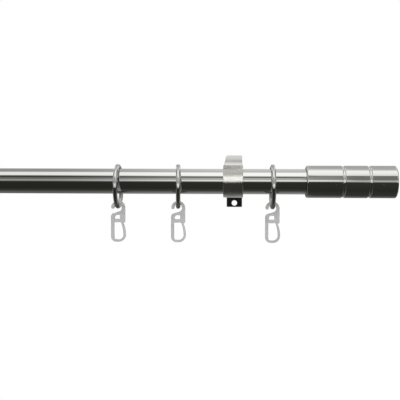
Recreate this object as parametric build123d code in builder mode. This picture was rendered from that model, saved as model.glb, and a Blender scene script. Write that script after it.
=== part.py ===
from build123d import *
from math import cos, radians, sin, sqrt, tan
import os

# A curtain rod on two wall brackets, with a finial at each end and with curtain
# rings that each carry a plastic hook. Millimetres.
# X runs along the rod, the room is on the -Y side, and +Z is up. The wall is the
# plane y = 0, and the origin lies in it, in the middle of the four screw holes.

os.makedirs("parts", exist_ok=True)

# Rod
rod_radius = 10.0
rod_wall = 1.0
rod_length = 1000.0
rod_end_chamfer = 0.3

# Wall plate
plate_width = 14.7
plate_thickness = 3.0
plate_corner = 0.8
plate_edge = 0.3
hole_pitch = 38.0
hole_radius = 2.6
hole_margin = 3.8
lower_hole_drop = 20.6
boss_width = 8.0
boss_height = 18.0
boss_depth = 6.0

# Bracket arm, as distances behind and above the rod's axis
wall_reach = 112.0
arm_width = 14.2
arm_front_rise = 12.6
arm_crown_back = 51.0
arm_crown_rise = 20.9
arm_wall_rise = 24.8
arm_thickness = 5.5
arm_edge = 0.5
foot_depth = 10.5
foot_fillet = 8.0
pocket_clearance = 0.15

# Rod band, as distances behind and above the rod's axis
band_width = 15.5
band_wall = 2.6
bore_clearance = 0.1
band_lip_front = 10.2
band_lip_rise = 12.7
band_lip_thickness = 1.6
band_edge = 0.5
seat_rise = 11.5
seat_clearance = 0.1
lug_back = 19.0
lug_thickness = 6.0

# Screws
screw_clearance = 0.05
grub_radius = 2.0
grub_length = 3.0
grub_chamfer = 0.3
hex_key = 2.0
hex_depth = 1.5
band_screw_radius = 1.5
band_screw_head_radius = 2.75
band_screw_length = 8.0
band_screw_back = 15.2
band_screw_end_gap = 0.5

# Finial, as distances from its rim
finial_radius = 12.65
finial_length = 69.8
finial_wall = 1.45
finial_rim_round = 1.2
finial_end_round = 1.2
groove_places = (28.6, 48.7)
groove_width = 2.4
groove_depth = 0.6
rod_in_finial = 25.0
rod_end_gap = 0.3
bush_clearance = 0.05
bush_inset = 1.0
bush_stop = 2.5
disc_thickness = 2.5
disc_inset = 0.4
disc_dome = 0.3
finial_screw_place = 12.0

# Rings
ring_wire_radius = 1.75
ring_outer_radius = 17.75
ring_seat_gap = 0.15

# Hooks, as distances from the middle of the ring's wire
hook_thickness = 2.5
hook_seat_gap = 0.2
hook_edge = 0.4
corner_round = 0.3
throat_radius = 3.0
throat_side = 0.06
crook_wall = 2.6
crook_tip_drop = 1.9
crook_tip_round = 1.3
hook_left = 5.7
ramp_angle = 17.5
shoulder_round = 2.7
block_width = 4.1
block_drop = 12.5
block_step = 1.4
window_drop = 6.8
window_left = 2.7
window_slant = 1.3
crossbar_drop = 9.9
crossbar_height = 2.75
left_limb = 2.6
right_limb = 1.95
neck_limb = 1.9
belly_right = 6.2
loop_drop = 26.3
loop_bar = 1.9
loop_round = 5.7
heel_round = 4.4
heel_inner_round = 1.8

# Places along the rod, from a bracket's middle
rim_from_bracket = 56.85
inner_ring = 91.55
near_ring = 43.55
outer_ring = 30.95

# Worked out from the values above
rod_height = lower_hole_drop - hole_pitch / 2
finial_rim = rod_length / 2 - rod_in_finial
bracket_place = finial_rim - rim_from_bracket
plate_front = wall_reach - plate_thickness
bore_radius = rod_radius + bore_clearance
band_radius = bore_radius + band_wall
sleeve_bore = finial_radius - finial_wall
ring_radius = ring_outer_radius - ring_wire_radius
ring_drop = ring_radius - ring_wire_radius - rod_radius - ring_seat_gap
throat_drop = throat_radius - ring_wire_radius - hook_seat_gap
middle_step = 2 * (bracket_place - inner_ring) / 5

# Each ring's place along the rod, how far its front is turned towards +X, and how far its
# hook leans from upright, with its foot towards -X
ring_rest = [
    (-bracket_place - outer_ring, -2.5, -0.9),
    (-bracket_place + near_ring, -4.0, 1.2),
    (-bracket_place + inner_ring, -1.8, -0.5),
    (-1.5 * middle_step, 2.4, 0.7),
    (-0.5 * middle_step, -3.2, -1.1),
    (0.5 * middle_step, 1.6, 0.4),
    (1.5 * middle_step, 3.6, -0.8),
    (bracket_place - inner_ring, 1.4, 2.6),
    (bracket_place - near_ring, 5.2, 0.8),
    (bracket_place + outer_ring, 1.3, 1.5),
]

rod_axis = Axis((0, -wall_reach, rod_height), (1, 0, 0))


def wall_plane(x, out=0.0):
    """The plane that far out from the wall at x, facing the room."""
    return Plane(origin=(x, -out, 0), x_dir=(1, 0, 0), z_dir=(0, -1, 0))


def across_plane(x):
    """The plane across the rod at x. Its X is the distance behind the rod's axis."""
    return Plane(origin=(x, -wall_reach, rod_height), x_dir=(0, 1, 0), z_dir=(1, 0, 0))


def along_plane(x, side):
    """The upright plane through the rod's axis at x. Its X runs outwards on that side."""
    return Plane(origin=(x, -wall_reach, rod_height), x_dir=(side, 0, 0), z_dir=(0, -side, 0))


def back_mouth(x):
    """Where a grub screw that points at the rod from behind has its socket, at x."""
    back = bore_radius + grub_length
    return Plane(origin=(x, -wall_reach + back, rod_height), x_dir=(1, 0, 0), z_dir=(0, 1, 0))


def foot_mouth(x):
    """Where the grub screw in the arm's foot has its socket, below the boss."""
    out = plate_thickness + boss_depth / 2
    height = rod_height - boss_height / 2 - grub_length
    return Plane(origin=(x, -out, height), x_dir=(1, 0, 0), z_dir=(0, 0, -1))


def lug_mouth(x):
    """The underside of the band's lug, where its screw goes in."""
    height = rod_height + seat_rise - lug_thickness
    return Plane(origin=(x, -wall_reach + band_screw_back, height), x_dir=(1, 0, 0), z_dir=(0, 0, -1))


def make_rod():
    """The tube that everything else hangs on."""
    with BuildPart() as rod:
        with BuildSketch(across_plane(0)):
            Circle(rod_radius)
            Circle(rod_radius - rod_wall, mode=Mode.SUBTRACT)
        extrude(amount=rod_length / 2, both=True)
        chamfer(rod.edges().filter_by(GeomType.CIRCLE), rod_end_chamfer)
    rod.part.label = "rod"
    export_step(rod.part, "parts/rod.step")


def make_wall_plate(name, x):
    """The plate on the wall, with two screw holes and the boss that carries the arm."""
    with BuildPart() as plate:
        with BuildSketch(wall_plane(x)):
            RectangleRounded(plate_width, hole_pitch + 2 * hole_margin, plate_corner)
        extrude(amount=plate_thickness)
        chamfer(plate.faces().sort_by(Axis.Y)[0].edges(), plate_edge)
        with BuildSketch(wall_plane(x, plate_thickness)):
            with Locations((0, rod_height)):
                Rectangle(boss_width, boss_height)
        extrude(amount=boss_depth)
        with BuildSketch(wall_plane(x)):
            with GridLocations(0, hole_pitch, 1, 2):
                Circle(hole_radius)
        extrude(amount=plate_thickness, mode=Mode.SUBTRACT)
    plate.part.label = name
    export_step(plate.part, f"parts/{name}.step")


def make_arm(name, x):
    """The bar from the wall plate to the rod, with a foot that fits over the boss."""
    front = seat_clearance + band_lip_thickness - band_lip_front
    under_rise = arm_wall_rise - arm_thickness
    foot_drop = boss_height / 2 + grub_length
    screw_tip = band_screw_length - lug_thickness + band_screw_end_gap
    with BuildPart() as arm:
        with BuildSketch(across_plane(x)):
            with BuildLine():
                top = ThreePointArc(
                    (front, arm_front_rise),
                    (arm_crown_back, arm_crown_rise),
                    (plate_front, arm_wall_rise),
                )
                under = ThreePointArc(
                    (plate_front, under_rise),
                    (arm_crown_back, arm_crown_rise - arm_thickness),
                    (lug_back, seat_rise),
                )
                Line(top @ 1, under @ 0)
                Polyline(under @ 1, (front, seat_rise), top @ 0)
            make_face()
            with Locations((plate_front, -foot_drop)):
                Rectangle(foot_depth, foot_drop + under_rise, align=(Align.MAX, Align.MIN))
        extrude(amount=arm_width / 2, both=True)
        corner = across_plane(x).from_local_coords((plate_front - foot_depth, under_rise))
        fillet(arm.edges().filter_by(Axis.X).sort_by_distance(corner)[0], foot_fillet)
        long_edges = arm.faces().sort_by(Axis.Z)[-1].edges().filter_by(Axis.X, reverse=True)
        fillet(long_edges, arm_edge)
        with BuildSketch(wall_plane(x, plate_thickness)):
            with Locations((0, rod_height)):
                Rectangle(boss_width + 2 * pocket_clearance, boss_height + 2 * pocket_clearance)
        extrude(amount=boss_depth + pocket_clearance, mode=Mode.SUBTRACT)
        with BuildSketch(foot_mouth(x)):
            Circle(grub_radius + screw_clearance)
        extrude(amount=-grub_length, mode=Mode.SUBTRACT)
        with BuildSketch(lug_mouth(x).offset(-lug_thickness)):
            Circle(band_screw_radius + screw_clearance)
        extrude(amount=-screw_tip, mode=Mode.SUBTRACT)
    arm.part.label = name
    export_step(arm.part, f"parts/{name}.step")


def make_band(name, x):
    """The ring round the rod. Its front lip hides the arm's end, and its lug is screwed to the arm."""
    lug_under = seat_rise - lug_thickness
    lug_root = sqrt(band_radius**2 - lug_under**2)
    with BuildPart() as band:
        with BuildSketch(across_plane(x)):
            with BuildLine():
                face = TangentArc(
                    (-band_radius, 0),
                    (-band_lip_front, band_lip_rise),
                    tangent=(0, 1),
                )
                lip_back = band_lip_thickness - band_lip_front
                Polyline(
                    face @ 1,
                    (lip_back, band_lip_rise),
                    (lip_back, seat_rise),
                    (lug_back, seat_rise),
                    (lug_back, lug_under),
                    (lug_root, lug_under),
                )
                ThreePointArc((lug_root, lug_under), (0, -band_radius), face @ 0)
            make_face()
            Circle(bore_radius, mode=Mode.SUBTRACT)
        extrude(amount=band_width / 2, both=True)
        rims = [side_face.outer_wire().edges() for side_face in band.faces().filter_by(Axis.X)]
        fillet(rims[0] + rims[1], band_edge)
        with Locations(lug_mouth(x)):
            CounterSinkHole(
                radius=band_screw_radius + screw_clearance,
                counter_sink_radius=band_screw_head_radius + screw_clearance,
                depth=lug_thickness,
                counter_sink_angle=90,
            )
        with BuildSketch(back_mouth(x)):
            Circle(grub_radius + screw_clearance)
        extrude(amount=-grub_length - band_wall, mode=Mode.SUBTRACT)
    band.part.label = name
    export_step(band.part, f"parts/{name}.step")


def make_band_screw(name, x):
    """The countersunk screw from the lug up into the arm."""
    head_depth = band_screw_head_radius - band_screw_radius
    mouth = lug_mouth(x)
    with BuildPart() as screw:
        with BuildSketch(mouth):
            Circle(band_screw_head_radius)
        extrude(amount=-head_depth, taper=45)
        with BuildSketch(mouth.offset(-head_depth / 2)):
            Circle(band_screw_radius)
        extrude(amount=-band_screw_length + head_depth / 2)
        with BuildSketch(mouth):
            RegularPolygon(radius=hex_key / 2, side_count=6, major_radius=False)
        extrude(amount=-hex_depth, mode=Mode.SUBTRACT)
    screw.part.label = name
    export_step(screw.part, f"parts/{name}.step")


def make_grub_screw(name, mouth):
    """A headless screw whose hexagon socket opens on the plane at its mouth."""
    with BuildPart() as grub:
        with BuildSketch(mouth):
            Circle(grub_radius)
        extrude(amount=-grub_length)
        chamfer(grub.edges().filter_by(GeomType.CIRCLE), grub_chamfer)
        with BuildSketch(mouth):
            RegularPolygon(radius=hex_key / 2, side_count=6, major_radius=False)
        extrude(amount=-hex_depth, mode=Mode.SUBTRACT)
    grub.part.label = name
    export_step(grub.part, f"parts/{name}.step")


def make_sleeve(name, side):
    """The finial's turned outside, with its two round grooves."""
    with BuildPart() as sleeve:
        with BuildSketch(along_plane(side * finial_rim, side)):
            with BuildLine():
                land = (0, finial_radius)
                for place in groove_places:
                    groove_start = (place - groove_width / 2, finial_radius)
                    groove_end = (place + groove_width / 2, finial_radius)
                    Line(land, groove_start)
                    ThreePointArc(groove_start, (place, finial_radius - groove_depth), groove_end)
                    land = groove_end
                Polyline(
                    land,
                    (finial_length, finial_radius),
                    (finial_length, sleeve_bore),
                    (0, sleeve_bore),
                    (0, finial_radius),
                )
            make_face()
        revolve(axis=rod_axis)
        outer_rims = sleeve.edges().filter_by(GeomType.CIRCLE)
        outer_rims = outer_rims.filter_by(lambda rim: rim.radius > finial_radius - groove_depth / 2)
        outer_rims = outer_rims.sort_by(Axis.X, reverse=side < 0)
        fillet(outer_rims[0], finial_rim_round)
        fillet(outer_rims[-1], finial_end_round)
        with BuildSketch(back_mouth(side * (finial_rim + finial_screw_place))):
            Circle(grub_radius + screw_clearance)
        extrude(amount=-grub_length, mode=Mode.SUBTRACT)
    sleeve.part.label = name
    export_step(sleeve.part, f"parts/{name}.step")


def make_bush(name, side):
    """The plastic bush in the finial: the rod's bore, closed by a stop."""
    stop_face = rod_in_finial + rod_end_gap
    with BuildPart() as bush:
        with BuildSketch(along_plane(side * finial_rim, side)):
            with BuildLine():
                Polyline(
                    (bush_inset, bore_radius),
                    (bush_inset, sleeve_bore - bush_clearance),
                    (stop_face + bush_stop, sleeve_bore - bush_clearance),
                    (stop_face + bush_stop, 0),
                    (stop_face, 0),
                    (stop_face, bore_radius),
                    close=True,
                )
            make_face()
        revolve(axis=rod_axis)
        with BuildSketch(back_mouth(side * (finial_rim + finial_screw_place))):
            Circle(grub_radius + screw_clearance)
        extrude(amount=-grub_length - rod_radius / 2, mode=Mode.SUBTRACT)
    bush.part.label = name
    export_step(bush.part, f"parts/{name}.step")


def make_end_disc(name, side):
    """The slightly domed disc that closes the finial."""
    edge = finial_length - disc_inset
    disc_radius = sleeve_bore - bush_clearance
    with BuildPart() as disc:
        with BuildSketch(along_plane(side * finial_rim, side)):
            with BuildLine():
                Polyline(
                    (edge + disc_dome, 0),
                    (edge - disc_thickness, 0),
                    (edge - disc_thickness, disc_radius),
                    (edge, disc_radius),
                )
                TangentArc((edge + disc_dome, 0), (edge, disc_radius), tangent=(0, 1))
            make_face()
        revolve(axis=rod_axis)
    disc.part.label = name
    export_step(disc.part, f"parts/{name}.step")


def ring_plane(x, turn):
    """The plane across a ring's hanging point, facing the room and turned with the ring."""
    angle = radians(turn)
    return Plane(
        origin=(x, -wall_reach, rod_height - ring_drop),
        x_dir=(cos(angle), sin(angle), 0),
        z_dir=(sin(angle), -cos(angle), 0),
    )


def make_ring(name, x, turn):
    """A ring of round wire that hangs on the rod."""
    middle = ring_plane(x, turn)
    with BuildPart() as ring:
        with BuildSketch(middle):
            with Locations((0, ring_radius)):
                Circle(ring_wire_radius)
        revolve(axis=Axis(middle.origin, middle.x_dir))
    ring.part.label = name
    export_step(ring.part, f"parts/{name}.step")


def hook_outline():
    """The hook's outside: the crook, the block, the loop, the shoulder and the open throat."""
    crook_radius = throat_radius + crook_wall
    crook_right = throat_side + crook_radius
    tip_rise = throat_drop - crook_tip_drop
    tip_outer = (throat_side - sqrt(crook_radius**2 - tip_rise**2), -crook_tip_drop)
    tip_inner = (throat_side - sqrt(throat_radius**2 - tip_rise**2), -crook_tip_drop)
    neck = (crook_right - block_step, -block_drop - block_step / 2)
    sole = loop_drop + loop_bar
    ramp = radians(ramp_angle)
    ramp_foot = (
        throat_side + throat_radius * sin(ramp),
        -throat_drop - throat_radius * cos(ramp),
    )
    shoulder = (-hook_left, ramp_foot[1] - (ramp_foot[0] + hook_left) * tan(ramp))
    with BuildLine() as outline:
        crook = ThreePointArc(
            tip_outer,
            (throat_side, crook_radius - throat_drop),
            (crook_right, -throat_drop),
        )
        Polyline(crook @ 1, (crook_right, -block_drop), neck)
        belly = TangentArc((belly_right, loop_round - sole), neck, tangent=(0, 1))
        toe = TangentArc(belly @ 0, (belly_right - loop_round, -sole), tangent=(0, -1))
        Line(toe @ 1, (heel_round - hook_left, -sole))
        heel = TangentArc(
            (heel_round - hook_left, -sole),
            (-hook_left, heel_round - sole),
            tangent=(-1, 0),
        )
        Polyline(heel @ 1, shoulder, ramp_foot)
        ThreePointArc(ramp_foot, (throat_side + throat_radius, -throat_drop), tip_inner)
        Line(tip_inner, tip_outer)
    return outline.line


def loop_outline():
    """The closed loop that the curtain's tape hangs in."""
    top = crossbar_drop + crossbar_height
    neck_right = throat_side + throat_radius + crook_wall - block_step
    left = left_limb - hook_left
    right = belly_right - right_limb
    round_start = loop_round - loop_bar
    with BuildLine() as loop:
        flank = TangentArc(
            (right, round_start - loop_drop),
            (neck_right - neck_limb, -top),
            tangent=(0, 1),
        )
        toe = TangentArc(flank @ 0, (right - round_start, -loop_drop), tangent=(0, -1))
        Line(toe @ 1, (left + heel_inner_round, -loop_drop))
        heel = TangentArc(
            (left + heel_inner_round, -loop_drop),
            (left, heel_inner_round - loop_drop),
            tangent=(-1, 0),
        )
        Polyline(heel @ 1, (left, -top), flank @ 1)
    return loop.line


def hook_shape():
    """A moulded hook: an open crook over the wire, a block with a window, and a closed loop."""
    window_right = throat_side + throat_radius + crook_wall - block_width
    with BuildPart() as shape:
        with BuildSketch(Plane.XY) as face:
            make_face(hook_outline())
            fillet(face.vertices().group_by(Axis.X)[0].sort_by(Axis.Y)[-1], shoulder_round)
            tip_low = -crook_tip_drop - hook_edge
            tip = face.vertices().filter_by_position(Axis.Y, tip_low, tip_low + 2 * hook_edge)
            fillet(tip, crook_tip_round)
            step_low = -block_drop - block_step
            step = face.vertices().filter_by_position(Axis.Y, step_low, step_low + 2 * block_step)
            fillet(step, corner_round)
            with BuildSketch(mode=Mode.PRIVATE) as loop:
                make_face(loop_outline())
                fillet(loop.vertices().group_by(Axis.Y)[-1], corner_round)
            with BuildSketch(mode=Mode.PRIVATE) as window:
                with BuildLine():
                    Polyline(
                        (-window_left, -crossbar_drop),
                        (-window_left, -window_drop - window_slant),
                        (window_slant - window_left, -window_drop),
                        (window_right, -window_drop),
                        (window_right, -crossbar_drop),
                        close=True,
                    )
                make_face()
                fillet(window.vertices(), corner_round)
            add([loop.sketch, window.sketch], mode=Mode.SUBTRACT)
        extrude(amount=hook_thickness / 2, both=True)
        fillet(shape.faces().filter_by(Axis.Z).edges(), hook_edge)
    return shape.part


def make_hook(name, x, turn, lean):
    """A hook on its ring's wire, turned with the ring and leaning about the wire."""
    middle = ring_plane(x, turn)
    wire = Plane(
        origin=middle.from_local_coords((0, -ring_radius, 0)),
        x_dir=middle.x_dir,
        z_dir=middle.z_dir,
    )
    with BuildPart() as hook:
        with Locations(wire.rotated((0, 0, -lean))):
            add(moulded_hook)
    hook.part.label = name
    export_step(hook.part, f"parts/{name}.step")


moulded_hook = hook_shape()
make_rod()
for end, side in (("left", -1), ("right", 1)):
    place = side * bracket_place
    make_wall_plate(f"{end}_wall_plate", place)
    make_arm(f"{end}_bracket_arm", place)
    make_band(f"{end}_rod_band", place)
    make_band_screw(f"{end}_band_screw", place)
    make_grub_screw(f"{end}_rod_grub_screw", back_mouth(place).offset(-bore_clearance))
    make_grub_screw(f"{end}_arm_grub_screw", foot_mouth(place))
    make_sleeve(f"{end}_finial_sleeve", side)
    make_bush(f"{end}_finial_bush", side)
    make_end_disc(f"{end}_finial_end_disc", side)
    screw_place = side * (finial_rim + finial_screw_place)
    make_grub_screw(f"{end}_finial_grub_screw", back_mouth(screw_place))

for number, (place, turn, lean) in enumerate(ring_rest, start=1):
    make_ring(f"ring_{number:02d}", place, turn)
    make_hook(f"hook_{number:02d}", place, turn, lean)
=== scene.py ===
# %% [markdown]
# # Dressing a curtain rod
#
# The object is a thin steel curtain rod on two wall brackets, with a turned finial on each end, ten steel
# rings and a milky plastic hook hanging from each ring. Its solids come in finished, at their real size and
# in metres. The rod runs along X, the room is towards -Y, the wall is the plane y = 0 and Z points up.
# What is left to do here is what a photographer and a finisher would do: choose the view, light the metal
# and give each surface its grain, its polish and its small faults.

# %% Load the finished solids
import math

import bpy
from mathutils import Matrix, Vector


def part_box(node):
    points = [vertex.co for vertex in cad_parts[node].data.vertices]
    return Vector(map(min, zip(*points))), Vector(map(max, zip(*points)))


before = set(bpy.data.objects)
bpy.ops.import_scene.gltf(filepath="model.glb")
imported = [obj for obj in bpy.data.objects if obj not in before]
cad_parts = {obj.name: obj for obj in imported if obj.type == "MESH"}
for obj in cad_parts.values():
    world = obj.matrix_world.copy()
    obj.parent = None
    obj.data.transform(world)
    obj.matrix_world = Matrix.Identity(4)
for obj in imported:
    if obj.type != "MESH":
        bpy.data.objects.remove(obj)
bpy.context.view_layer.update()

# %% [markdown]
# ## Where the parts lie
#
# Sizes are asked of the solids and not typed again, so that this lesson follows the model. The bracket on
# the right and the axis of the rod are what the view and the light are set out from.

# %% Measure the rod and the right bracket


def middle(node):
    """The middle of one solid's box, in metres."""
    lowest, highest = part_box(node)
    return (lowest + highest) / 2


rod_middle = middle("rod")
right_band_middle = middle("right_rod_band")
rod_axis_y, rod_axis_z = rod_middle.y, rod_middle.z
print("rod axis at y", round(rod_axis_y, 4), "z", round(rod_axis_z, 4))
print("right bracket at x", round(right_band_middle.x, 4))

# %% [markdown]
# ## The view
#
# The photograph was taken from close by, level with the rod and just past the right bracket, so the bracket
# arm is seen end on and the rings near it almost edge on. The place of such a camera can be found from how
# fast parallel edges draw together. Here it stands 520 mm from the rod's axis, is turned 2.8 degrees towards
# the long side of the rod, and tips 1.7 degrees down. A small shift of the lens brings the bracket to where
# the photograph has it, because turning the camera further would lean the rod's outline too much.

# %% Set up the camera
picture_side = 400
camera_distance = 0.520
camera_right_of_bracket = 0.00555
camera_above_rod = 0.0006
camera_lens = 59.22
lens_shift = -0.02
turn_left = math.radians(2.80)
tip_down = math.radians(1.68)
roll = math.radians(0.185)
nearest_seen = 0.01

camera_data = bpy.data.cameras.new("view_lens")
camera_data.lens = camera_lens
camera_data.shift_x = lens_shift
camera_data.clip_start = nearest_seen
camera = bpy.data.objects.new("view", camera_data)
bpy.context.scene.collection.objects.link(camera)
camera_place = Vector(
    (
        right_band_middle.x + camera_right_of_bracket,
        rod_axis_y - camera_distance,
        rod_axis_z + camera_above_rod,
    )
)
camera.matrix_world = (
    Matrix.Translation(camera_place)
    @ Matrix.Rotation(turn_left, 4, "Z")
    @ Matrix.Rotation(math.radians(90) - tip_down, 4, "X")
    @ Matrix.Rotation(roll, 4, "Z")
)
bpy.context.scene.camera = camera
bpy.context.scene.view_settings.view_transform = "Standard"
focal_pixels = camera_data.lens / camera_data.sensor_width * picture_side
print("camera at", [round(v, 4) for v in camera_place], "focal length", round(focal_pixels, 1), "pixels")

# %% [markdown]
# ## A helper for shader nodes
#
# Every finish below is made of shader nodes. One short helper adds a node, gives it a label in plain words
# and fills its sockets with numbers or with links, so that each material reads as a list of what it holds.

# %% Add a shader node


def add(tree, kind, label, inputs=None, **settings):
    """Adds one shader node. A socket gets a link if its value is another socket, and a number if not."""
    made = tree.nodes.new(kind)
    made.label = label
    for name, value in settings.items():
        setattr(made, name, value)
    for socket, value in (inputs or {}).items():
        if isinstance(value, bpy.types.NodeSocket):
            tree.links.new(value, made.inputs[socket])
        else:
            made.inputs[socket].default_value = value
    return made


print("helper ready:", add.__name__)

# %% [markdown]
# ## The room that the metal sees
#
# Polished steel has hardly any colour of its own: it shows the room. A studio for metal is mostly soft
# white, with dark parts that draw the edges. On a rod that runs along X a reflection depends on the angle
# round the rod, so the room is written as that angle, from 0 straight towards the camera, through 90
# straight up, to 180 at the backdrop, and on below the rod as negative angles. It could be built from cards
# and lamps, but a world shader is quicker to render and free of noise.
#
# Each strip below lists what is seen as the eye goes round once: the angle, and how bright it is there. The
# room isn't the same all along the rod, so there are six strips: ahead, past the left end, beside the finial,
# past its first groove, far out to the sides, which only rough metal and rounded edges show, and beyond
# those, which the round wire of the rings shows. The darker a thing is, the warmer it is, so a small amount
# of blue is taken off each brightness.

# %% What stands ahead, round the middle of the view
ahead = [
    ("far floor behind", -180, 0.34),
    ("floor behind", -140, 0.38),
    ("floor edge behind", -121, 0.25),
    ("floor under the rod", -92, 0.057),
    ("dark floor in front", -66, 0.030),
    ("dark floor in front, nearer", -10, 0.034),
    ("sill of the doorway", -1.5, 0.12),
    ("bright doorway, lower edge", 3.5, 1.10),
    ("bright doorway, upper edge", 11, 1.20),
    ("wall over the doorway", 16, 0.53),
    ("wall, brightest part", 26, 0.64),
    ("wall under the rail", 31, 0.52),
    ("dark rail, lower edge", 35, 0.18),
    ("dark rail, upper edge", 45, 0.18),
    ("soft lamp, lower edge", 52, 1.35),
    ("soft lamp, upper edge", 85, 1.40),
    ("ceiling", 93, 0.80),
    ("backdrop, top", 104, 0.70),
    ("backdrop, middle", 121, 0.82),
    ("backdrop, lower part", 150, 0.72),
    ("bright seam of the backdrop, upper edge", 161.0, 1.08),
    ("bright seam of the backdrop", 162.8, 1.08),
    ("fold in the backdrop", 164.0, 0.32),
    ("fold in the backdrop, lower edge", 165.2, 0.32),
    ("backdrop under the fold", 166.6, 0.70),
    ("backdrop, foot", 180, 0.70),
]
print("things ahead:", len(ahead))

# %% What the rod sees past its left end
past_left_end = [
    ("far floor behind", -180, 0.20),
    ("floor edge behind", -121, 0.16),
    ("floor under the rod", -92, 0.05),
    ("dark floor in front", -66, 0.026),
    ("dark floor in front, nearer", -4, 0.028),
    ("dim doorway", 5, 0.40),
    ("dim doorway, upper edge", 15, 0.44),
    ("wall over the doorway", 20, 0.19),
    ("wall under the rail", 32, 0.19),
    ("dark rail, lower edge", 36, 0.06),
    ("dark rail, upper edge", 50, 0.06),
    ("soft lamp, lower edge", 57, 1.15),
    ("soft lamp, upper edge", 88, 1.20),
    ("dim backdrop, top", 97, 0.42),
    ("dim backdrop, level", 180, 0.36),
]
print("things past the left end:", len(past_left_end))

# %% What stands beside the finial
beside_finial = [
    ("far floor behind", -180, 0.34),
    ("floor edge behind", -142, 0.21),
    ("floor under the rod", -112, 0.050),
    ("dark floor in front", -66, 0.030),
    ("dark floor in front, nearer", -1.5, 0.036),
    ("bright doorway, lower edge", 3.5, 1.10),
    ("bright doorway, upper edge", 10.5, 1.10),
    ("wall over the doorway", 15, 0.38),
    ("wall under the lamp", 42, 0.32),
    ("soft lamp, lower edge", 47, 1.22),
    ("soft lamp, upper edge", 80, 1.40),
    ("soft lamp, end", 90, 1.18),
    ("backdrop, top", 101, 0.80),
    ("dim backdrop, top", 112, 0.56),
    ("dim backdrop, level", 180, 0.50),
]
print("things beside the finial:", len(beside_finial))

# %% What the finial sees past its first groove
past_first_groove = [
    ("far floor behind", -180, 0.26),
    ("floor edge behind", -142, 0.15),
    ("floor under the rod", -116, 0.048),
    ("dark floor in front", -66, 0.032),
    ("dark floor in front, nearer", -4, 0.042),
    ("dim doorway, lower edge", 1, 0.60),
    ("dim doorway, upper edge", 9.5, 0.60),
    ("dark wall over the doorway", 13, 0.22),
    ("dark wall under the lamp", 42, 0.22),
    ("soft lamp, lower edge", 47, 1.12),
    ("soft lamp, upper edge", 79, 1.38),
    ("soft lamp, end", 88, 1.10),
    ("dim backdrop, top", 99, 0.62),
    ("dim backdrop, level", 180, 0.44),
]
print("things past the first groove:", len(past_first_groove))

# %% What stands far out to the sides
far_sides = [
    ("floor at the side, behind", -180, 0.20),
    ("floor at the side", -92, 0.036),
    ("floor at the side, in front", -8, 0.024),
    ("side window, lower edge", -5, 2.35),
    ("side window, upper edge", 16, 2.20),
    ("blind over the side window", 20.5, 0.60),
    ("blind, brighter top", 36, 1.60),
    ("end of the lamp", 54, 1.15),
    ("end of the lamp, far edge", 90, 1.15),
    ("side wall, top", 120, 1.30),
    ("side wall, behind", 180, 0.60),
]
print("things far out to the sides:", len(far_sides))

# %% What stands beyond those
beyond_sides = [
    ("floor past the side, behind", -180, 0.50),
    ("floor past the side, near the wall", -130, 0.30),
    ("floor past the side", -92, 0.06),
    ("floor past the side, in front", -2, 0.05),
    ("side door, lower edge", 8, 0.45),
    ("side door, upper edge", 19, 0.45),
    ("side wall over the door", 25, 0.30),
    ("side wall under the rail", 35, 0.24),
    ("side rail", 45, 0.14),
    ("second lamp, lower edge", 58, 0.80),
    ("second lamp", 74, 1.05),
    ("second lamp, far edge", 86, 0.80),
    ("dark cloth at the side", 100, 0.18),
    ("dark cloth at the side, lower edge", 140, 0.18),
    ("backdrop past the side", 165, 0.55),
    ("backdrop past the side, lower part", 180, 0.55),
]
print("things beyond the sides:", len(beyond_sides))

# %% [markdown]
# The strips become a shader in three steps: find the angle round the rod for a direction, turn each strip
# into a colour ramp over that angle, and blend the ramps by how far the direction points along the rod.

# %% Find the angle round the rod for every direction
world = bpy.data.worlds.new("studio")
bpy.context.scene.world = world
world.use_nodes = True
world.cycles.sampling_method = "NONE"
studio = world.node_tree
studio.nodes.clear()

ray_direction = add(studio, "ShaderNodeTexCoord", "ray direction")
axes = add(studio, "ShaderNodeSeparateXYZ", "its three parts", {0: ray_direction.outputs["Generated"]})
to_camera = add(
    studio, "ShaderNodeMath", "towards the camera", {0: axes.outputs["Y"], 1: -1.0}, operation="MULTIPLY"
)
angle = add(
    studio,
    "ShaderNodeMath",
    "angle round the rod",
    {0: axes.outputs["Z"], 1: to_camera.outputs[0]},
    operation="ARCTAN2",
)
round_share = add(
    studio,
    "ShaderNodeMapRange",
    "one turn as 0 to 1",
    {"Value": angle.outputs[0], "From Min": -math.pi, "From Max": math.pi, "To Min": 0.0, "To Max": 1.0},
)
print("angle runs from -180 to 180 degrees")

# %% Turn a strip into a ramp
blue_share = 0.985
blue_lost = 0.004


def strip_ramp(label, strip):
    """A colour ramp that follows one strip of the room."""
    ramp = add(studio, "ShaderNodeValToRGB", label, {"Fac": round_share.outputs[0]})
    stops = ramp.color_ramp.elements
    stops.remove(stops[-1])
    for index, (what, degrees, brightness) in enumerate(strip):
        place = (degrees + 180) / 360
        stop = stops[0] if index == 0 else stops.new(place)
        stop.position = place
        stop.color = (brightness, brightness, brightness * blue_share - blue_lost, 1)
    return ramp.outputs["Color"]


side_ramp = strip_ramp("far sides", far_sides)
beyond_ramp = strip_ramp("beyond the sides", beyond_sides)
print("ramps for both sides:", side_ramp.node.label, "and", beyond_ramp.node.label)

# %% Blend the ramps along the rod


def blend(tree, label, share, first, second):
    """The first colour where the share is 0 and the second where it is 1."""
    mixed = add(tree, "ShaderNodeMix", label, {0: share, 6: first, 7: second}, data_type="RGBA")
    return mixed.outputs[2]


def share_of_x(label, start, end):
    """0 where the ray points to start along X and 1 where it points to end, as a part of its length."""
    share = add(
        studio,
        "ShaderNodeMapRange",
        label,
        {"Value": axes.outputs["X"], "From Min": start, "From Max": end},
        interpolation_type="SMOOTHSTEP",
    )
    return share.outputs[0]


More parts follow.
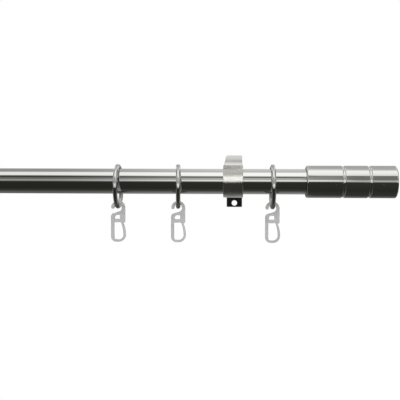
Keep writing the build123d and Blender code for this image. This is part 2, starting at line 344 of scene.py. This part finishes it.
along_rod = [
    ("past the left end", -0.016, -0.305, strip_ramp("past the left end", past_left_end)),
    ("beside the finial", 0.0926, 0.1057, strip_ramp("beside the finial", beside_finial)),
    ("past the first groove", 0.143, 0.171, strip_ramp("past the first groove", past_first_groove)),
    ("far to the right", 0.255, 0.340, side_ramp),
    ("far to the left", -0.385, -0.460, side_ramp),
    ("beyond, to the right", 0.50, 0.62, beyond_ramp),
    ("beyond, to the left", -0.58, -0.68, beyond_ramp),
]
room = strip_ramp("ahead", ahead)
for where, start, end, ramp in along_rod:
    room = blend(studio, where, share_of_x(where, start, end), room, ramp)
print("strips blended along the rod:", len(along_rod))

# %% [markdown]
# Only glossy rays see this room. Matt surfaces get an even light, a little stronger from above, so that a
# colour comes out about as it was written. The camera, and plastic that is looked through, see plain white.

# %% Make the even light on matt surfaces
light_from_below = 0.72
light_from_above = 1.08

even_light = add(
    studio,
    "ShaderNodeMapRange",
    "light on matt surfaces",
    {
        "Value": axes.outputs["Z"],
        "From Min": -1.0,
        "From Max": 1.0,
        "To Min": light_from_below,
        "To Max": light_from_above,
    },
)
print("light from below and above:", light_from_below, light_from_above)

# %% Join the three kinds of light
white = (1, 1, 1, 1)


def seen_by_camera(tree):
    """1 for a ray from the camera, straight or through plastic, and 0 for any other ray."""
    ray = add(tree, "ShaderNodeLightPath", "kind of ray")
    either = add(
        tree,
        "ShaderNodeMath",
        "seen straight or through plastic",
        {0: ray.outputs["Is Camera Ray"], 1: ray.outputs["Is Transmission Ray"]},
        operation="MAXIMUM",
    )
    return either.outputs[0]


ray = add(studio, "ShaderNodeLightPath", "kind of ray")
light = blend(studio, "matt or metal", ray.outputs["Is Glossy Ray"], even_light.outputs[0], room)
light = blend(studio, "white background", seen_by_camera(studio), light, white)
background = add(studio, "ShaderNodeBackground", "studio light", {"Color": light, "Strength": 1.0})
add(studio, "ShaderNodeOutputWorld", "world", {"Surface": background.outputs[0]})
print("world nodes:", len(studio.nodes))

# %% [markdown]
# ## The floor
#
# The rod hangs on a wall, so nothing stands on the floor. It lies well below, and only has to be pale and
# take the soft shadow. Its diffuse part is a pale grey, and the rest up to white is glow that the camera
# sees, so an unshaded floor joins the white background without an edge.

# %% Lay the floor
floor_drop = 0.30
floor_half = 6.0
floor_grey = 0.80

floor_mesh = bpy.data.meshes.new("studio_floor")
corners = [(x * floor_half, y * floor_half, -floor_drop) for x, y in ((-1, -1), (1, -1), (1, 1), (-1, 1))]
floor_mesh.from_pydata(corners, [], [(0, 1, 2, 3)])
floor = bpy.data.objects.new("studio_floor", floor_mesh)
bpy.context.scene.collection.objects.link(floor)
floor.visible_glossy = False
print("floor at z", -floor_drop)

# %% Paint the floor


def start_material(name):
    """A new material whose node tree is still empty."""
    material = bpy.data.materials.new(name)
    material.use_nodes = True
    material.node_tree.nodes.clear()
    return material, material.node_tree


floor_finish, tree = start_material("pale_floor")
matt = add(tree, "ShaderNodeBsdfDiffuse", "pale paint", {"Color": (floor_grey, floor_grey, floor_grey, 1)})
glow_level = add(
    tree,
    "ShaderNodeMath",
    "what is missing to white",
    {0: seen_by_camera(tree), 1: 1 - floor_grey},
    operation="MULTIPLY",
)
glow = add(tree, "ShaderNodeEmission", "glow", {"Strength": glow_level.outputs[0]})
both = add(tree, "ShaderNodeAddShader", "paint and glow", {0: matt.outputs[0], 1: glow.outputs[0]})
add(tree, "ShaderNodeOutputMaterial", "floor", {"Surface": both.outputs[0]})
floor_mesh.materials.append(floor_finish)
print("finish:", floor_finish.name)

# %% [markdown]
# ## Effects that several finishes share
#
# Drawn steel, turned steel and brushed steel are the same effect at other scales: fine lines with one long
# direction. Wear on the edges and the haze that hands leave come back in most finishes too. Each such effect
# is one node group with named inputs, built once and placed in each material with its own values.

# %% Start a node group
number = "NodeSocketFloat"
three_numbers = "NodeSocketVector"


def start_group(name, inputs, outputs):
    """A new shader group with named sockets. Gives the group, its input node and its output node."""
    group = bpy.data.node_groups.new(name, "ShaderNodeTree")
    for socket, (kind, value) in inputs.items():
        made = group.interface.new_socket(socket, in_out="INPUT", socket_type=kind)
        made.default_value = value
    for socket in outputs:
        group.interface.new_socket(socket, in_out="OUTPUT", socket_type=number)
    return group, group.nodes.new("NodeGroupInput"), group.nodes.new("NodeGroupOutput")


print("helper ready:", start_group.__name__)

# %% Fine lines left by drawing, turning or brushing
noise_low, noise_high = 0.3, 0.7

lines_group, given, result = start_group(
    "fine lines",
    {"Lines per metre": (three_numbers, (30, 3000, 3000)), "Waviness": (number, 0.4)},
    ["Line"],
)
coordinates = add(lines_group, "ShaderNodeTexCoord", "place on the piece")
stretched = add(
    lines_group,
    "ShaderNodeVectorMath",
    "long one way, fine across",
    {0: coordinates.outputs["Object"], 1: given.outputs["Lines per metre"]},
    operation="MULTIPLY",
)
streaks = add(
    lines_group,
    "ShaderNodeTexNoise",
    "streaks",
    {"Vector": stretched.outputs[0], "Scale": 1.0, "Detail": 4.0, "Distortion": given.outputs["Waviness"]},
)
level = add(
    lines_group,
    "ShaderNodeMapRange",
    "use the whole range",
    {"Value": streaks.outputs["Fac"], "From Min": noise_low, "From Max": noise_high},
)
lines_group.links.new(level.outputs[0], result.inputs["Line"])
print(lines_group.name, "ready")

# %% Haze and smudges left by handling
haze_begins, haze_is_full = 0.42, 0.72


def patches(group, size, grain):
    """Soft patches of noise, each about as wide as the size, and as grainy as is asked."""
    coordinates = add(group, "ShaderNodeTexCoord", "place on the piece")
    per_metre = add(group, "ShaderNodeMath", "patches per metre", {0: 1.0, 1: size}, operation="DIVIDE")
    place_and_scale = {"Vector": coordinates.outputs["Object"], "Scale": per_metre.outputs[0]}
    return add(group, "ShaderNodeTexNoise", "patches", place_and_scale | grain).outputs["Fac"]


haze_group, given, result = start_group("handling haze", {"Size": (number, 0.012)}, ["Haze"])
smudges = patches(haze_group, given.outputs["Size"], {"Detail": 5.0, "Roughness": 0.55})
level = add(
    haze_group,
    "ShaderNodeMapRange",
    "only the thick patches",
    {"Value": smudges, "From Min": haze_begins, "From Max": haze_is_full},
    interpolation_type="SMOOTHSTEP",
)
haze_group.links.new(level.outputs[0], result.inputs["Haze"])
print(haze_group.name, "ready")

# %% Wear along the edges
edge_begins, edge_is_full = 0.99, 0.85
directions_tried = 4

wear_group, given, result = start_group(
    "edge wear", {"Width": (number, 0.0006), "Patch size": (number, 0.004)}, ["Wear"]
)
rounded = add(
    wear_group,
    "ShaderNodeBevel",
    "as if the edge were round",
    {"Radius": given.outputs["Width"]},
    samples=directions_tried,
)
surface = add(wear_group, "ShaderNodeNewGeometry", "the true surface")
agreement = add(
    wear_group,
    "ShaderNodeVectorMath",
    "how far they agree",
    {0: rounded.outputs[0], 1: surface.outputs["Normal"]},
    operation="DOT_PRODUCT",
)
edge = add(
    wear_group,
    "ShaderNodeMapRange",
    "they differ at an edge",
    {"Value": agreement.outputs["Value"], "From Min": edge_begins, "From Max": edge_is_full},
)
broken_up = patches(wear_group, given.outputs["Patch size"], {"Detail": 3.0})
worn = add(
    wear_group, "ShaderNodeMath", "worn edge", {0: edge.outputs[0], 1: broken_up}, operation="MULTIPLY"
)
wear_group.links.new(worn.outputs[0], result.inputs["Wear"])
print(wear_group.name, "ready")

# %% [markdown]
# ## What every finish ends in
#
# Each finish turns a mask into a roughness and a height into relief, and hands everything to one shader.
# Three short helpers do that. The shader itself stays in the material and not in a group, so that the export
# of the model can read its values.

# %% Turn a mask into values, a height into relief, and close a material


def values_between(tree, label, mask, low, high):
    """The low value where the mask is 0 and the high one where it is 1."""
    spread_out = add(tree, "ShaderNodeMapRange", label, {"Value": mask, "To Min": low, "To Max": high})
    return spread_out.outputs[0]


def relief(tree, label, height, strength, distance):
    """The normal of a surface whose height goes up and down by the distance, in metres."""
    bump = add(tree, "ShaderNodeBump", label, {"Height": height, "Strength": strength, "Distance": distance})
    return bump.outputs[0]


def close_material(tree, label, sockets):
    """One shader with these sockets, joined to the material's output."""
    shader = add(tree, "ShaderNodeBsdfPrincipled", label, sockets)
    add(tree, "ShaderNodeOutputMaterial", "surface", {"Surface": shader.outputs[0]})


print("helpers ready:", values_between.__name__, relief.__name__, close_material.__name__)

# %% [markdown]
# ## Steel
#
# All the bright parts are steel, polished or satin. The colour of polished steel is a mid grey: it looks
# bright because it mirrors bright things. The satin band is the exception. It smears the dark parts of the
# room over the bright ones, so it needs a pale colour to look as bright as it does. What tells one part from
# the next is the direction of its lines, how rough it is, and how much haze lies on it, so one function makes
# them all and each finish gives its own values.

# %% A steel finish
line_height = 0.00002
rubbed_brightness = 1.15
rough_change = 0.1
haze_dulls_by = 0.5


def steel(name, colour, roughness, lines_per_metre, line_depth, contrast, haze_size, edge_width, spread=0):
    """Bright steel with lines one way, a little haze, and edges that are rubbed brighter.
    Spread is how much further a reflection is smeared along X than round the rod."""
    material, tree = start_material(name)
    lines = add(
        tree, "ShaderNodeGroup", "lines", {"Lines per metre": lines_per_metre}, node_tree=lines_group
    )
    haze = add(tree, "ShaderNodeGroup", "haze", {"Size": haze_size}, node_tree=haze_group)
    wear = add(tree, "ShaderNodeGroup", "wear", {"Width": edge_width}, node_tree=wear_group)

    lighter = tuple(c * (1 + contrast) for c in colour) + (1,)
    darker = tuple(c * (1 - contrast) for c in colour) + (1,)
    rubbed = tuple(min(1.0, c * rubbed_brightness) for c in colour) + (1,)
    tone = blend(tree, "tone along the lines", lines.outputs["Line"], darker, lighter)
    edged = blend(tree, "rubbed edges", wear.outputs["Wear"], tone, rubbed)

    smoothest, roughest = roughness * (1 - rough_change), roughness * (1 + rough_change)
    rough_lines = values_between(tree, "rough along the lines", lines.outputs["Line"], smoothest, roughest)
    rough = add(
        tree,
        "ShaderNodeMath",
        "haze makes it duller",
        {0: haze.outputs["Haze"], 1: roughness * haze_dulls_by, 2: rough_lines},
        operation="MULTIPLY_ADD",
    )
    sockets = {
        "Base Color": edged,
        "Metallic": 1.0,
        "Roughness": rough.outputs[0],
        "Anisotropic": spread,
        "Normal": relief(tree, "lines as relief", lines.outputs["Line"], line_depth, line_height),
    }
    if spread:
        along_x = add(tree, "ShaderNodeCombineXYZ", "smeared along X", {"X": 1.0})
        sockets["Tangent"] = along_x.outputs[0]
    close_material(tree, name, sockets)
    print("finish:", name, "roughness", roughness)
    return material


# %% [markdown]
# ### The tube
#
# The rod is a thin steel tube that was drawn through a die and plated. Drawing leaves very fine lines that
# run the tube's whole length, so here they are hundreds of times longer along X than across it. The tube
# mirrors the room almost sharply, and the lines only break up the borders of what it mirrors.

# %% Make the tube's finish
tube_steel = steel(
    "drawn_tube_steel",
    colour=(0.66, 0.66, 0.655),
    roughness=0.04,
    lines_per_metre=(6, 2600, 2600),
    line_depth=0.08,
    contrast=0.03,
    haze_size=0.030,
    edge_width=0.0003,
)

# %% [markdown]
# ### The bracket arm and the rod band
#
# Both are satin: they are brushed after casting, the arm from the wall to the rod and the band round the rod.
# Brush lines smear a reflection across themselves and hardly along themselves. On a real bar that is the
# tall, soft streak of light in its top. Fine bumps could do the same, but they would need many more samples,
# so the smear is asked of the shader, and the lines add only a faint change of tone and a shallow relief.

# %% Make the two satin finishes
arm_steel = steel(
    "satin_arm_steel",
    colour=(0.63, 0.622, 0.605),
    roughness=0.10,
    lines_per_metre=(900, 30, 900),
    line_depth=0.20,
    contrast=0.03,
    haze_size=0.012,
    edge_width=0.0005,
    spread=0.6,
)
band_steel = steel(
    "satin_band_steel",
    colour=(0.90, 0.892, 0.856),
    roughness=0.24,
    lines_per_metre=(2500, 60, 60),
    line_depth=0.03,
    contrast=0.02,
    haze_size=0.012,
    edge_width=0.0005,
    spread=1.0,
)

# %% [markdown]
# ### The finials
#
# A finial's sleeve and its end disc are turned on a lathe and polished. The tool leaves lines that run round
# the axis, thousands to the metre along X. They are shallow after polishing, so the finial mirrors nearly as
# sharply as the tube.

# %% Make the finials' finish
finial_steel = steel(
    "turned_finial_steel",
    colour=(0.64, 0.638, 0.63),
    roughness=0.06,
    lines_per_metre=(4000, 40, 40),
    line_depth=0.05,
    contrast=0.02,
    haze_size=0.016,
    edge_width=0.0005,
)

# %% [markdown]
# ### The rings and the screws
#
# A curtain ring is bent from round wire and tumbled until it is smooth, so its faults have no direction. It
# slides along the rod for years, which dulls it a little. The screws are plated and left as they come, rough
# enough that they stay grey beside the polished parts.

# %% Make the finishes of the rings and screws
ring_steel = steel(
    "polished_ring_steel",
    colour=(0.58, 0.58, 0.57),
    roughness=0.10,
    lines_per_metre=(500, 500, 500),
    line_depth=0.05,
    contrast=0.03,
    haze_size=0.006,
    edge_width=0.0003,
)
screw_steel = steel(
    "plated_screw_steel",
    colour=(0.52, 0.52, 0.50),
    roughness=0.28,
    lines_per_metre=(2500, 2500, 2500),
    line_depth=0.30,
    contrast=0.06,
    haze_size=0.003,
    edge_width=0.0002,
)

# %% [markdown]
# ## Black coating on the wall plates
#
# The wall plates are steel under a thin black coat that is baked on. Such a coat pulls itself into a very
# fine orange-peel surface and comes out thinnest over sharp edges, where a hint of grey shows. The light is
# soft, so the peel is seen only in the plate's highlight. Noise as relief is enough for it, and no picture
# of a surface is needed.

# %% Make the black coating
clean_black = (0.004, 0.004, 0.005, 1)
dusty_black = (0.010, 0.010, 0.010, 1)
thin_black = (0.04, 0.04, 0.04, 1)
clean_roughness, dusty_roughness = 0.34, 0.52
dust_size = 0.008
thin_edge_width = 0.0005
peels_per_metre = 900.0
peel_height = 0.0001
peel_strength = 0.4
coat_shine = 0.35

black_plate, tree = start_material("black_plate_coating")
haze = add(tree, "ShaderNodeGroup", "dust and haze", {"Size": dust_size}, node_tree=haze_group)
wear = add(tree, "ShaderNodeGroup", "wear", {"Width": thin_edge_width}, node_tree=wear_group)
coordinates = add(tree, "ShaderNodeTexCoord", "place on the piece")
peel = add(
    tree,
    "ShaderNodeTexNoise",
    "orange peel",
    {"Vector": coordinates.outputs["Object"], "Scale": peels_per_metre, "Detail": 2.0},
)
hazed = blend(tree, "black with haze", haze.outputs["Haze"], clean_black, dusty_black)
close_material(
    tree,
    "black coating",
    {
        "Base Color": blend(tree, "thin at the edges", wear.outputs["Wear"], hazed, thin_black),
        "Roughness": values_between(
            tree, "haze is duller", haze.outputs["Haze"], clean_roughness, dusty_roughness
        ),
        "Specular IOR Level": coat_shine,
        "Normal": relief(tree, "orange peel as relief", peel.outputs["Fac"], peel_strength, peel_height),
    },
)
print("finish:", black_plate.name)

# %% [markdown]
# ## Plastics
#
# The hooks are moulded in a milky plastic: light enters it and spreads a little, which softens every shadow
# inside the hook. A mould leaves a fine even skin, and the melt leaves paler and darker flow that is only
# just seen. The bushes inside the finials are the same kind of moulding in opaque black. One function makes
# both, and its last value says how much light goes through. Both also carry a painted reflection: glossy rays
# see a dim grey in place of their colour, so the steel mirrors them dim.

# %% A moulded plastic
flow_size = 0.009
skin_change = 0.2
skin_height = 0.00005
skin_strength = 0.3
light_reach = 0.001
# The grey that glossy rays see in place of the plastic: a painted dim reflection.
dim = (0.10, 0.10, 0.10, 1)


def plastic(name, colour, deeper, roughness, grain_size, glow_through):
    """Moulded plastic with a faint flow pattern and the skin that a mould leaves."""
    material, tree = start_material(name)
    haze = add(tree, "ShaderNodeGroup", "flow of the melt", {"Size": flow_size}, node_tree=haze_group)
    coordinates = add(tree, "ShaderNodeTexCoord", "place on the piece")
    grain = add(
        tree,
        "ShaderNodeTexNoise",
        "mould skin",
        {"Vector": coordinates.outputs["Object"], "Scale": 1 / grain_size, "Detail": 3.0},
    )
    tone = blend(tree, "tone", haze.outputs["Haze"], (*colour, 1), (*deeper, 1))
    ray = add(tree, "ShaderNodeLightPath", "kind of ray")
    # Painted reflection: the steel mirrors this plastic as the dim grey, not as its own colour.
    tone = blend(tree, "dim in the steel", ray.outputs["Is Glossy Ray"], tone, dim)
    smoothest, roughest = roughness * (1 - skin_change), roughness * (1 + skin_change)
    skin = grain.outputs["Fac"]
    close_material(
        tree,
        name,
        {
            "Base Color": tone,
            "Roughness": values_between(tree, "roughness of the skin", skin, smoothest, roughest),
            "Normal": relief(tree, "skin as relief", skin, skin_strength, skin_height),
            "Subsurface Weight": glow_through,
            "Subsurface Radius": (1.0, 1.0, 1.0),
            "Subsurface Scale": light_reach,
        },
    )
    print("finish:", name)
    return material


# %% Make the plastics of the hooks and the bushes
milky_plastic = plastic(
    "milky_hook_plastic",
    colour=(0.56, 0.565, 0.565),
    deeper=(0.50, 0.505, 0.505),
    roughness=0.38,
    grain_size=0.0012,
    glow_through=0.3,
)
bush_plastic = plastic(
    "black_bush_plastic",
    colour=(0.02, 0.02, 0.021),
    deeper=(0.03, 0.03, 0.03),
    roughness=0.5,
    grain_size=0.0008,
    glow_through=0.0,
)

# %% [markdown]
# ## Put each finish on its parts
#
# Each solid already has a slot for its material. Its name says what it is, so the finish is looked up by the
# name without its side or its number: ten rings share one finish, and so do both finials. No solid is
# replaced or moved, because their shapes are already those of the real parts.

# %% Assign the finishes
finish_of = {
    "rod": tube_steel,
    "wall_plate": black_plate,
    "bracket_arm": arm_steel,
    "rod_band": band_steel,
    "band_screw": screw_steel,
    "rod_grub_screw": screw_steel,
    "arm_grub_screw": screw_steel,
    "finial_sleeve": finial_steel,
    "finial_end_disc": finial_steel,
    "finial_bush": bush_plastic,
    "finial_grub_screw": screw_steel,
    "ring": ring_steel,
    "hook": milky_plastic,
}


def kind_of(node):
    """The part's plain name, without its side and its number."""
    words = [w for w in node.split("_") if w not in ("left", "right") and not w.isdigit()]
    return "_".join(words)


for node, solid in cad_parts.items():
    for used in solid.material_slots:
        used.material = finish_of[kind_of(node)]
print("dressed:", len(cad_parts), "solids")
